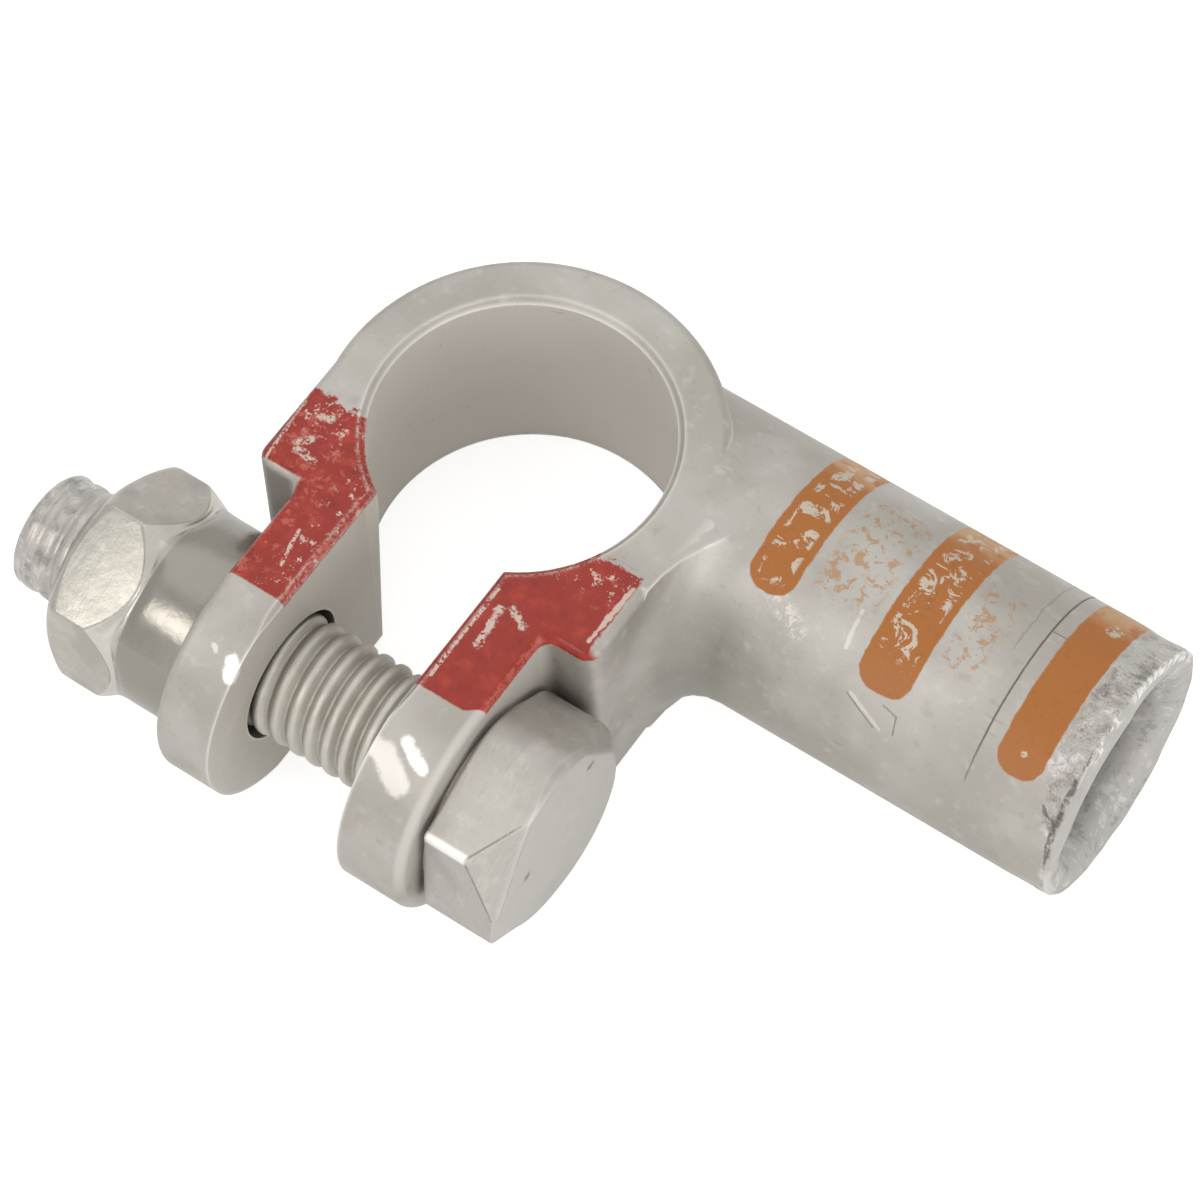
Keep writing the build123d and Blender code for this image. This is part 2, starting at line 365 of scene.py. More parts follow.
def soften(points, radii, steps=4):
    """A profile with its corners rounded, each by its own size, cut short where the next corner is near."""
    most = 0.48
    result = [points[0]]
    for i in range(1, len(points) - 1):
        before, here, after = Vector(points[i - 1]), Vector(points[i]), Vector(points[i + 1])
        reach_in = min(radii[i], most * (here - before).length)
        reach_out = min(radii[i], most * (after - here).length)
        start = here + (before - here).normalized() * reach_in
        end = here + (after - here).normalized() * reach_out
        for k in range(steps + 1):
            t = k / steps
            result.append(tuple((1 - t) ** 2 * start + 2 * t * (1 - t) * here + t * t * end))
    result.append(points[-1])
    return result


def hex_columns(across_flats, turn, corner_radii, per_flat=20, per_corner=12):
    """Angles round a hexagon with its own rounding at each corner, and the radius there, as pairs."""
    half = across_flats / 2
    lean = math.cos(math.radians(30))
    spans = []
    for corner_r in corner_radii:
        centre = (half - corner_r) / lean
        edge = math.atan2(corner_r * 0.5, centre + corner_r * lean)
        spans.append((centre, edge, corner_r))
    columns = []
    for k in range(6):
        corner = math.radians(turn + 60 * k)
        centre, edge, corner_r = spans[k]
        for i in range(per_corner):
            a = edge * (2 * i / per_corner - 1)
            radius = centre * math.cos(a) + math.sqrt(corner_r ** 2 - (centre * math.sin(a)) ** 2)
            columns.append((corner + a, radius))
        flat = math.radians(60) - edge - spans[(k + 1) % 6][1]
        for i in range(per_flat):
            a = edge + flat * i / per_flat
            columns.append((corner + a, half / math.cos(math.radians(30) - a)))
    return columns


def around_bolt(x, r, angle):
    """A point about the bolt's axis, in metres."""
    return (x * MM, (BOLT_Y + r * math.cos(angle)) * MM, (AXIS_Z + r * math.sin(angle)) * MM)


def clean(bm):
    """The mesh without doubled points and empty faces."""
    bmesh.ops.remove_doubles(bm, verts=bm.verts, dist=1e-7)
    bmesh.ops.dissolve_degenerate(bm, edges=bm.edges, dist=1e-8)


def skin(name, columns, profile, closed):
    """A surface about the bolt's axis: one profile of (x, radius) points for each column's angle."""
    bm = bmesh.new()
    rows = []
    for angle, radius in columns:
        rows.append([bm.verts.new(around_bolt(x, r, angle)) for x, r in profile(angle, radius)])
    count = len(rows[0])
    for j in range(len(rows)):
        row, after = rows[j], rows[(j + 1) % len(rows)]
        for i in range(count if closed else count - 1):
            k = (i + 1) % count
            bm.faces.new((row[i], row[k], after[k], after[i]))
    clean(bm)
    bmesh.ops.recalc_face_normals(bm, faces=bm.faces)
    return finish_mesh(bm, name, 38.0)


def finish_mesh(bm, name, sharp):
    """An object from a bmesh, smooth apart from the edges that turn by more than an angle in degrees."""
    for face in bm.faces:
        face.smooth = True
    for edge in bm.edges:
        edge.smooth = not (edge.is_manifold and edge.calc_face_angle(0.0) > math.radians(sharp))
    mesh = bpy.data.meshes.new(name)
    bm.to_mesh(mesh)
    bm.free()
    piece = bpy.data.objects.new(name, mesh)
    bpy.context.scene.collection.objects.link(piece)
    return piece


def bump(value, middle, width):
    """A smooth rise to 1 at the middle, and 0 further away than the width."""
    share = min(1.0, abs(value - middle) / width)
    return (1 - share) ** 2 * (1 + 2 * share)


def turned(angle, middle):
    """How far an angle in degrees is from another, the short way round."""
    return (angle - middle + 180) % 360 - 180


def lip_point(x, r, angle, rough, crease):
    """A point of the worked lip: pressed in, folded and chipped, with a dent, a crease and a lean."""
    degrees = math.degrees(angle)
    at = Vector((x * 0.5, math.cos(angle) * 4.2, math.sin(angle) * 4.2))
    pressed = max(0.0, noise.noise(at) + 0.12) * LIP_PRESSED
    pressed += max(0.0, noise.noise(at * 3.1)) * LIP_PRESSED_FINE
    waves = max(0.0, math.sin(angle * LIP_WAVES + 2.2 * noise.noise(at * 2.0)))
    folds = waves * bump(degrees, *FOLDS_TURN) * LIP_FOLDED
    dent = LIP_DENTED * bump(x, *DENT_X) * bump(degrees, *DENT_TURN)
    inward = rough * (pressed + folds) + dent * (r > LIP_OUTER_R)
    upper = min(1.0, 1.6 * bump(degrees, *UPPER_TURN))
    if r < LIP_OUTER_R:
        x += (MOUTH_X - 0.03 - x) * upper * min(1.0, max(0.0, (r - CABLE_R - 0.2) / 0.3))
    on_outside = (x - LIP_START_X) / LIP_LENGTH
    x -= LIP_LEAN * upper * (on_outside if r >= BARREL_R else max(0.0, r - 7.3))
    x -= crease * LIP_CREASED * bump(degrees, *CREASE_TURN)
    x -= rough * LIP_CHIPPED * max(0.0, noise.noise(at * 1.3 + Vector((5, 0, 0)))) * (r > 7.0)
    return min(x, MOUTH_X), r - inward


def work_mouth(bm):
    """The barrel's end in place of the solid's plain one: a dished lip with an uneven, hammered edge."""
    everything = bm.verts[:] + bm.edges[:] + bm.faces[:]
    bmesh.ops.bisect_plane(bm, geom=everything, dist=1e-7, plane_co=(LIP_START_X * MM, 0, 0),
                           plane_no=(1, 0, 0), clear_outer=True)
    middle = Vector((LIP_START_X, BARREL_Y, AXIS_Z)) * MM
    open_verts = [v for v in bm.verts if v.is_boundary]
    half_wall_r = (BARREL_R + CABLE_R) / 2
    outer = [v for v in open_verts if (v.co - middle).length > half_wall_r * MM]
    turn = {v: math.atan2(v.co.z - middle.z, middle.y - v.co.y) for v in outer}
    row = sorted(outer, key=turn.get)
    angles = [turn[v] for v in row]
    for back, depth, rough, crease in LIP_RINGS:
        after = []
        for angle in angles:
            x, r = lip_point(MOUTH_X - back, BARREL_R - depth, angle, rough, crease)
            place = (x, BARREL_Y - r * math.cos(angle), AXIS_Z + r * math.sin(angle))
            after.append(bm.verts.new(Vector(place) * MM))
        for i in range(len(row)):
            k = (i + 1) % len(row)
            bm.faces.new((row[i], row[k], after[k], after[i]))
        row = after
    edges = [e for e in bm.edges if e.is_boundary]
    bmesh.ops.bridge_loops(bm, edges=edges)
    bmesh.ops.recalc_face_normals(bm, faces=bm.faces)


def casting():
    """The clamp's casting, from its solid, with its faces shaded as one piece of metal."""
    bm = bmesh.new()
    bm.from_mesh(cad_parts["clamp_body"].data)
    bmesh.ops.remove_doubles(bm, verts=bm.verts, dist=2e-6)
    work_mouth(bm)
    piece = finish_mesh(bm, "casting", 32.0)
    weigh = piece.modifiers.new("weigh", "WEIGHTED_NORMAL")
    weigh.keep_sharp = True
    weigh.weight = 80
    return piece


def thread_height(t):
    """How far a rounded thread rises at a share of its pitch, from 0 at the root to 1 at the crest."""
    rise = min(1.0, max(0.0, (1 - abs(2 * t - 1)) / 0.8))
    return rise * rise * (3 - 2 * rise)


def thread_radius(x, t):
    """The shank's radius at a share of the thread's pitch: worn past the nut, and rounded at its end."""
    worn = min(1.0, max(0.0, (THREAD_WORN_X - x) / THREAD_WORN_LENGTH))
    depth = (THREAD_R - THREAD_ROOT_R) * (1 - worn) + THREAD_WORN_DEPTH * worn
    r = THREAD_R - THREAD_WORN_LOSS * worn - depth * (1 - thread_height(t))
    end = (x - THREAD_END_X) / THREAD_CHAMFER
    if end < 1:
        r = min(r, THREAD_R - THREAD_END_DROP * (1 - math.sqrt(max(0.0, 1 - (1 - end) ** 2))))
    return r


def shank_piece():
    """The bolt's shank with its right-hand helical thread and rounded end."""
    around, per_pitch = 72, 12
    step = THREAD_PITCH / per_pitch
    head_x = EAR_OUT_X + SEAT_T
    first = THREAD_END_X - THREAD_PITCH
    count = int((head_x + THREAD_PITCH - first) / step) + 2
    bm = bmesh.new()
    rings = []
    for k in range(count):
        ring = []
        for j in range(around):
            x = first + k * step + THREAD_PITCH * j / around
            x = min(max(x, THREAD_END_X), head_x)
            r = thread_radius(x, (k % per_pitch) / per_pitch)
            ring.append(bm.verts.new(around_bolt(x, r, 2 * math.pi * j / around)))
        rings.append(ring)
    for k in range(count - 1):
        for j in range(around):
            i = (j + 1) % around
            step_up = 0 if i else per_pitch
            if k + 1 + step_up >= count:
                continue
            here, over = rings[k + step_up], rings[k + 1 + step_up]
            bm.faces.new((rings[k][j], rings[k + 1][j], over[i], here[i]))
    clean(bm)
    ends = [e for e in bm.edges if e.is_boundary]
    bmesh.ops.holes_fill(bm, edges=ends, sides=0)
    bmesh.ops.recalc_face_normals(bm, faces=bm.faces)
    return finish_mesh(bm, "bolt_shank", 50.0)


def head_piece():
    """The bolt's hex head: a washer face, worn corners, and an end cut by a cone and two planes."""
    columns = hex_columns(HEAD_AF, HEAD_TURN, HEAD_CORNERS)
    slope = math.tan(math.radians(HEAD_CHAMFER))
    head_x = EAR_OUT_X + SEAT_T

    def end_x(r, degrees, flat_r):
        """The head's outer end: flat, then a cone, and two planes that cut the near and the far side."""
        facing, other = turned(degrees, HEAD_CUT_TURN), turned(degrees, HEAD_WEAR_TURN)
        cone = max(0.0, r - flat_r) * slope * (1.0 - HEAD_CONE_LOSS * bump(facing, *HEAD_CONE_TURN))
        plane = max(0.0, r * math.cos(math.radians(facing)) - HEAD_CUT_R)
        wear = max(0.0, r * math.cos(math.radians(other)) - HEAD_WEAR_R) * HEAD_WEAR_SLOPE
        return HEAD_OUT_X - max(cone, plane, wear)

    def profile(angle, radius):
        """From the seat out to the rim, and back over the end in small steps to its middle."""
        degrees = math.degrees(angle)
        flat_r = HEAD_FLAT_R - HEAD_FLAT_LOSS * bump(turned(degrees, HEAD_FLAT_MIDDLE), *HEAD_FLAT_TURN)
        start = min(flat_r, radius - 0.05)
        for cut_turn, cut_r in ((HEAD_CUT_TURN, HEAD_CUT_R), (HEAD_WEAR_TURN, HEAD_WEAR_R)):
            facing = turned(degrees, cut_turn)
            if abs(facing) < 80:
                start = min(start, cut_r / math.cos(math.radians(facing)))
        points = [(EAR_OUT_X, HEAD_HIDDEN_R), (EAR_OUT_X, SEAT_R), (head_x, SEAT_R), (head_x, radius),
                  (end_x(radius, degrees, flat_r), radius)]
        steps = 6
        for k in range(1, steps + 1):
            r = radius + (start - radius) * k / steps
            points.append((end_x(r, degrees, flat_r), r))
        points += [(HEAD_OUT_X, HEAD_HIDDEN_R), (HEAD_OUT_X, 0.0)]
        return soften(points, [0, 0.15, 0.1, 0.3, 0.14] + [0.0] * (steps - 1) + [0.2, 0.4, 0])

    return skin("bolt_head", columns, profile, False)


def nut_piece():
    """The collar nut: a round collar, a cove up to the hexagon, and a chamfered end."""
    half = NUT_AF / 2
    columns = hex_columns(NUT_AF, NUT_TURN, [NUT_CORNER] * 6)
    bore_r = NUT_BORE_R + NUT_BORE_CHAMFER

    def profile(angle, radius):
        """From the bore's end over the collar, the cove and the flat, and back into the bore."""
        rise = radius - half
        slope = COVE_SLOPE - COVE_SLOPE_LOSS * bump(math.degrees(angle) % 360, *COVE_TURN)
        points = [
            (-EAR_OUT_X - 0.3, NUT_BORE_R), (-EAR_OUT_X, bore_r),
            (-EAR_OUT_X, COLLAR_R), (COLLAR_X + 0.25, COLLAR_R),
            (COLLAR_X - 0.25 - rise * 0.6, half - 0.20 + rise * 0.42),
            (COVE_X - rise * slope, radius), (NUT_OUT_X + 0.60 + rise * 0.35, radius),
            (NUT_OUT_X, NUT_FLAT_R - 0.4), (NUT_OUT_X, bore_r),
            (NUT_OUT_X + NUT_BORE_CHAMFER, NUT_BORE_R), (-EAR_OUT_X - 0.4, NUT_BORE_R),
        ]
        corners = [0.08 + rise * 0.3, 0.12 + rise * 0.6]
        return soften(points, [0, 0.1, 0.6, 0.5, 0.5] + corners + [0.3, 0.15, 0.1, 0])

    return skin("nut", columns, profile, True)


# Materials

class Field:
    """One number over a surface, worked out by shader nodes."""

    def __init__(self, tree, socket):
        self.tree = tree
        self.socket = socket

    def math(self, operation, *others):
        node = self.tree.nodes.new("ShaderNodeMath")
        node.operation = operation
        for slot, value in zip(node.inputs, (self, *others)):
            plug(self.tree, slot, value)
        return Field(self.tree, node.outputs[0])

    def __add__(self, other):
        return self.math("ADD", other)

    def __sub__(self, other):
        return self.math("SUBTRACT", other)

    def __mul__(self, other):
        return self.math("MULTIPLY", other)

    def flip(self):
        return self.math("MULTIPLY_ADD", -1.0, 1.0)

    def size(self):
        return self.math("ABSOLUTE")

    def low(self, other):
        return self.math("MINIMUM", other)

    def high(self, other):
        return self.math("MAXIMUM", other)

    def ramp(self, start, end):
        """From 0 at start to 1 at end, eased at both ends."""
        node = self.tree.nodes.new("ShaderNodeMapRange")
        node.interpolation_type = "SMOOTHSTEP"
        node.clamp = False
        node.inputs["From Min"].default_value = min(start, end)
        node.inputs["From Max"].default_value = max(start, end)
        node.inputs["To Min"].default_value = 1.0 if start > end else 0.0
        node.inputs["To Max"].default_value = 0.0 if start > end else 1.0
        self.tree.links.new(self.socket, node.inputs["Value"])
        return Field(self.tree, node.outputs[0])

    def span(self, start, full, fade, end):
        """1 from full to fade, and down to 0 at the start and the end."""
        return self.ramp(start, full) * self.ramp(end, fade)


def plug(tree, slot, value):
    """A field, a socket or a plain value into a node's input."""
    if isinstance(value, Field):
        tree.links.new(value.socket, slot)
    elif isinstance(value, bpy.types.NodeSocket):
        tree.links.new(value, slot)
    else:
        slot.default_value = value


def linear(red, green, blue):
    """A tone written as 0 to 255, as the shader wants it."""
    def one(v):
        v /= 255
        return v / 12.92 if v <= 0.04045 else ((v + 0.055) / 1.055) ** 2.4
    return (one(red), one(green), one(blue), 1.0)


class Finish:
    """A material in the making: a point's place in millimetres, and its colour, roughness and relief."""

    def __init__(self, name, tone):
        self.material = bpy.data.materials.new(name)
        self.material.use_nodes = True
        self.tree = self.material.node_tree
        self.shader = self.tree.nodes["Principled BSDF"]
        self.shader.inputs["Specular IOR Level"].default_value = 0.35
        coords = self.node("ShaderNodeTexCoord")
        self.place = self.vector("SCALE", coords.outputs["Object"], scale=1.0 / MM)
        parts = self.node("ShaderNodeSeparateXYZ")
        self.tree.links.new(self.place, parts.inputs[0])
        self.x, self.y, self.z = (Field(self.tree, parts.outputs[i]) for i in range(3))
        facing = self.node("ShaderNodeSeparateXYZ")
        self.tree.links.new(coords.outputs["Normal"], facing.inputs[0])
        self.facing_x = Field(self.tree, facing.outputs[0])
        self.colour = tone

    def node(self, kind):
        return self.tree.nodes.new(kind)

    def vector(self, operation, *values, scale=None, number=False):
        node = self.node("ShaderNodeVectorMath")
        node.operation = operation
        for slot, value in zip(node.inputs, values):
            plug(self.tree, slot, value)
        if scale is not None:
            plug(self.tree, node.inputs["Scale"], scale)
        if number:
            return Field(self.tree, node.outputs["Value"])
        return node.outputs["Vector"]

    def point(self, x, y, z=0.0):
        node = self.node("ShaderNodeCombineXYZ")
        for slot, value in zip(node.inputs, (x, y, z)):
            plug(self.tree, slot, value)
        return node.outputs[0]

    def reach(self, across, along):
        """How far a point of a flat map is from its middle."""
        return self.vector("LENGTH", self.point(across, along), number=True)

    def away(self, at, spot):
        """How far a point is from a spot."""
        return self.vector("DISTANCE", at, spot, number=True)

    def noise(self, scale, detail, rough, shift=(0, 0, 0), stretch=(1, 1, 1), at=None, warp=0.0):
        """Soft noise from 0 to 1, with so many lumps a millimetre."""
        place = self.vector("MULTIPLY_ADD", at or self.place, stretch, shift)
        node = self.node("ShaderNodeTexNoise")
        node.inputs["Scale"].default_value = scale
        node.inputs["Detail"].default_value = detail
        node.inputs["Roughness"].default_value = rough
        node.inputs["Distortion"].default_value = warp
        self.tree.links.new(place, node.inputs["Vector"])
        return Field(self.tree, node.outputs[0])

    def mix(self, first, second, share):
        """Two colours, each a tone or a socket, with a share of the second."""
        node = self.node("ShaderNodeMix")
        node.data_type = "RGBA"
        plug(self.tree, node.inputs[0], share)
        for slot, colour in ((node.inputs[6], first), (node.inputs[7], second)):
            plug(self.tree, slot, linear(*colour) if isinstance(colour, tuple) else colour)
        return node.outputs[2]

    def paint(self, colour, share):
        """A share of another colour goes over the colour so far."""
        self.colour = self.mix(self.colour, colour, share)

    def blend(self, first, second, share):
        """Two numbers, with a share of the second."""
        node = self.node("ShaderNodeMix")
        for slot, value in zip((node.inputs[0], node.inputs[2], node.inputs[3]), (share, first, second)):
            plug(self.tree, slot, value)
        return Field(self.tree, node.outputs[0])

    def line(self, start, end, flat):
        """How far a point of a flat map is from a straight stroke."""
        a, b = Vector((*start, 0)), Vector((*end, 0))
        along = b - a
        off = self.vector("SUBTRACT", flat, a)
        share = self.vector("DOT_PRODUCT", off, along / along.length_squared, number=True)
        on_line = self.vector("SCALE", along, scale=share.high(0.0).low(1.0))
        return self.away(off, on_line)

    def strokes(self, lines, flat, width, ragged):
        """Where some strokes are, from 0 to 1, with an uneven edge."""
        nearest = None
        for start, end in lines:
            distance = self.line(start, end, flat)
            nearest = distance if nearest is None else nearest.low(distance)
        return (nearest + ragged).ramp(width, width * 0.45)

    def edges(self, radius):
        """Where the surface turns sharply within a radius in millimetres, from 0 to 1."""
        bevel = self.node("ShaderNodeBevel")
        bevel.samples = 4
        bevel.inputs["Radius"].default_value = radius * MM
        geometry = self.node("ShaderNodeNewGeometry")
        same = self.vector("DOT_PRODUCT", bevel.outputs[0], geometry.outputs["Normal"], number=True)
        return same.ramp(0.985, 0.90)

    def crevices(self, reach):
        """Where the surface is hemmed in, from 0 in the open to 1 in a corner."""
        shade = self.node("ShaderNodeAmbientOcclusion")
        shade.samples = 3
        shade.inputs["Distance"].default_value = reach * MM
        return Field(self.tree, shade.outputs["AO"]).ramp(0.75, 0.25)

    def close(self, metal):
        """The colour, roughness, metal share and relief in millimetres go to the shader."""
        bump = self.node("ShaderNodeBump")
        bump.inputs["Strength"].default_value = 1.0
        bump.inputs["Distance"].default_value = MM
        plug(self.tree, bump.inputs["Height"], self.relief)
        plug(self.tree, self.shader.inputs["Base Color"], self.colour)
        plug(self.tree, self.shader.inputs["Roughness"], self.rough)
        plug(self.tree, self.shader.inputs["Metallic"], metal)
        self.tree.links.new(bump.outputs[0], self.shader.inputs["Normal"])
        return self.material


def cast_patterns(f):
    """The casting's random patterns, and a point's radius and arc's length about the barrel."""
    f.broad = f.noise(0.16, 2.0, 0.5)
    f.cloudy = f.noise(0.9, 4.0, 0.6, shift=(7, 3, 1))
    f.grain = f.noise(6.0, 2.0, 0.6)
    f.streaky = f.noise(1.6, 2.0, 0.6, stretch=(0.3, 1.7, 1.7), shift=(1, 5, 9), warp=0.6)
    f.lumps = f.noise(1.7, 5.0, 0.68, shift=(3, 7, 2), warp=0.5)
    f.ragged = f.noise(1.3, 5.0, 0.68, shift=(5, 1, 2)) - 0.5
    f.fine = f.grain - 0.5
    f.worn = f.edges(0.4)
    level, out = f.z - AXIS_Z, (f.y - BARREL_Y) * -1.0
    f.arc = level.math("ARCTAN2", out) * BARREL_R
    f.radius = f.reach(level, out)
    f.unrolled = f.point(f.x, f.arc)
    f.on_barrel = f.x.ramp(BARREL_START_X, BARREL_START_X + 1.0)
    f.outside = f.radius.ramp(BARREL_R - 0.7, BARREL_R - 0.4) * f.on_barrel
    f.outside = f.outside * f.x.ramp(MOUTH_X - 0.08, MOUTH_X - 0.18)


def tin_metal(f):
    """Cast and tin-plated brass: soft mottling, faint scratches, paler cut faces and bright worn edges,
    with painted light on the ears' outer faces and painted shade in the neck and in crevices.
    """
    ring = f.reach(f.x, f.y).ramp(RING_CUT_R + 0.05, RING_CUT_R - 0.05)
    ring = ring * f.z.ramp(BODY_H - 0.15, BODY_H - 0.4)
    slit = f.x.span(*SLIT_X) * f.y.ramp(-8.0, -8.4)
    ear_side = f.x.span(*EAR_SIDE_X) * f.y.ramp(-10.2, -11.5) * f.z.ramp(7.0, 13.0)
    f.cut = ring.high(slit).high(ear_side)
    scratches = f.streaky.ramp(0.66, 0.73) * f.broad.ramp(0.56, 0.44)
    f.paint(TIN_LIGHT, f.broad.ramp(0.34, 0.66))
    f.paint(TIN_BRIGHT, f.cloudy.ramp(0.52, 0.78) * 0.55)
    f.paint(TIN_DULL, f.cloudy.ramp(0.44, 0.24) * 0.4)
    f.paint(CUT_METAL, f.cut * 0.85)
    # Painted light: the ears' outer faces lifted to a lighter tone
    f.paint(EAR_SIDE_PAINTED_LIGHT, ear_side)
    f.paint(NECK_SHADE, f.x.span(*NECK_X) * f.y.ramp(-1.0, -3.5) * 0.55)
    f.paint(TIN_SCRATCH, scratches * 0.35)
    # Painted shade: crevices darkened by ambient occlusion, except on the ears' outer faces
    f.paint(TIN_CREVICE_SHADE, f.crevices(1.4) * ear_side.flip() * 0.2)
    f.paint(TIN_EDGE, f.worn * 0.7)
    f.rough = f.blend(0.50, 0.60, f.cloudy) - f.worn * 0.12 + f.cut * 0.06
    f.relief = ((f.cloudy - 0.5) * 0.05 + f.fine * 0.008) * (f.cut * -0.7 + 1.0)


def nose_glints(f):
    """Painted highlights: small bright patches on the ears' round ends, which are also made a little
    smoother.
    """
    level, out = f.z - AXIS_Z, f.y - BOLT_Y
    flat = f.point(f.x, level.math("ARCTAN2", out) * EAR_R)
    uneven = f.ragged * 0.7 + f.fine * 0.2
    broad = f.strokes(BROAD_PAINTED_HIGHLIGHTS, flat, 0.80, uneven)
    sharp = f.strokes(SHARP_PAINTED_HIGHLIGHTS, flat, 0.50, uneven)
    speck = f.strokes(PAINTED_HIGHLIGHT_SPECK, flat, 0.26, uneven)
    rim = f.reach(level, out).ramp(EAR_R - 0.55, EAR_R - 0.35) * f.y.ramp(BOLT_Y - 1.6, BOLT_Y - 2.2)
    # Painted highlights: soft and sharp bright patches on the ears' round ends
    f.paint(SOFT_PAINTED_HIGHLIGHT, broad * rim * 0.9)
    f.paint(PAINTED_HIGHLIGHT, sharp.high(speck * 0.5) * rim)
    f.glints = broad.high(sharp) * rim
    f.rough = f.rough - f.glints * 0.1


def hammered_rim(f, along, patches, lip):
    """The barrel's last stretch: patchy and pitted, with pale flecks that are painted glints, and folds
    over its crest.
    """
    speckled = f.ragged + f.fine * 0.9
    hit = (f.x + f.ragged * 0.9 - f.arc.ramp(8.6, 1.4) * 1.9).ramp(37.0, 37.5) * f.outside * lip.flip()
    folds = hit * along.ramp(37.9, 38.9) * f.arc.span(*FOLDS_ARC)
    f.paint(TIN_BRIGHT, hit * 0.6)
    f.paint(HAMMER_DULL, hit * patches.ramp(0.50, 0.38) * 0.75)
    f.paint(HAMMER_PALE, hit * f.arc.ramp(13.5, 12.0) * (patches + f.ragged * 0.4).ramp(0.53, 0.62) * 0.7)
    f.paint(HAMMER_PIT, hit * speckled.ramp(-0.13, -0.22) * 0.6)
    # Painted glints as pale flecks
    f.paint(HAMMER_GLINT, hit * speckled.ramp(0.14, 0.22) * 0.6)
    f.paint(FOLD, folds * f.streaky.ramp(0.48, 0.34) * 0.6)
    lumpy = hit * ((f.lumps - 0.5) * 0.26 + (patches - 0.5) * 0.40)
    f.relief = f.relief + lumpy + folds * (f.streaky - 0.5) * 0.4


def dull_bore(f, patches, lip):
    """Inside the barrel: a patchy funnel and bore, made paler as painted light and darker further in as
    painted shade; where it is, from 0 to 1.
    """
    mottled = patches + f.ragged * 0.4
    funnel = f.radius.ramp(8.0, 7.7) * f.x.ramp(37.5, 38.2)
    bore = f.radius.ramp(6.9, 6.4) * f.on_barrel * lip.flip()
    within = bore.high(funnel)
    # Painted light: the funnel and the bore made paler than the dim inside would be
    f.paint(FUNNEL_PAINTED_LIGHT, funnel * 0.8)
    f.paint(BORE_PAINTED_LIGHT, bore * 0.9)
    # Painted shade: the bore darker further in
    f.paint(BORE_PAINTED_SHADE, bore * f.x.ramp(38.0, 35.5) * 0.8)
    f.paint(BORE_PALE, within * mottled.ramp(0.54, 0.62) * 0.6)
    f.paint(BORE_DULL, within * mottled.ramp(0.46, 0.38) * 0.5)
    f.rough = f.blend(f.rough, 0.62, within)
    return within


def lip_marks(f, along, upper, lip):
    """On the lip: a pale face with a painted shadow line inside it, painted highlights on its rim, and a
    crack along its edge.
    """
    f.paint(LIP_FACE, lip * upper * 0.7)
    # Painted shadow line at the lip face's inner edge
    edge_shadow = (f.radius - (CABLE_R + 0.37) + f.ragged * 0.2).size().ramp(0.24, 0.10) * upper
    edge_shadow = edge_shadow * along.ramp(MOUTH_X - 1.0, MOUTH_X - 0.7)
    f.paint(LIP_EDGE_SHADOW, edge_shadow * 0.75)
    rim = (along - f.radius * 0.6 + f.ragged * 0.3).ramp(34.38, 34.56) * f.radius.ramp(7.6, 7.8)
    crest = f.arc.span(*CREST_ARC) * f.lumps.ramp(0.42, 0.56)
    specks = f.arc.span(*SPECKS_ARC) * (f.lumps + f.ragged * 0.3).ramp(0.50, 0.56)
    # Painted highlights: bright patches on the rim at the crest, as specks lower down, and faintly at the
    # bottom
    f.paint(LIP_RIM_HIGHLIGHT, rim * crest.high(specks).high(f.arc.span(*LOW_RIM_ARC) * 0.4))
    width = f.arc.span(*CRACK_WIDE_ARC) * 0.13 + 0.03
    crack = ((along - (MOUTH_X - 0.2) + f.ragged * 0.45).size() - width).ramp(0.08, -0.06)
    crack = crack * f.radius.ramp(7.5, 7.7) * f.arc.span(*CRACK_ARC)
    smudge = (f.away(f.unrolled, LIP_SMUDGE) + f.ragged * 2.6).ramp(0.62, 0.25)
    gouges = f.strokes(LIP_GOUGES, f.unrolled, 0.17, f.ragged * 0.7)
    dark = (smudge * 0.45).high(gouges * 0.7) * f.outside * lip.flip()
    f.paint(CRACK, (crack * f.lumps.ramp(0.34, 0.54) * 0.8).high(dark))


def mouth_finish(f):
    """The barrel's worked end, as seen past the lip's lean; where its inside is, from 0 to 1."""
    upper = f.arc.span(*UPPER_ARC)
    along = f.x + upper * LIP_LEAN
    lip = f.facing_x.ramp(0.45, 0.7) * along.ramp(MOUTH_X - 0.9, MOUTH_X - 0.6)
    lip = lip * f.radius.ramp(CABLE_R - 0.05, CABLE_R + 0.15)
    patches = f.noise(0.6, 5.0, 0.72, shift=(9, 2, 4), warp=0.2)
    hammered_rim(f, along, patches, lip)
    within = dull_bore(f, patches, lip)
    lip_marks(f, along, upper, lip)
    return within


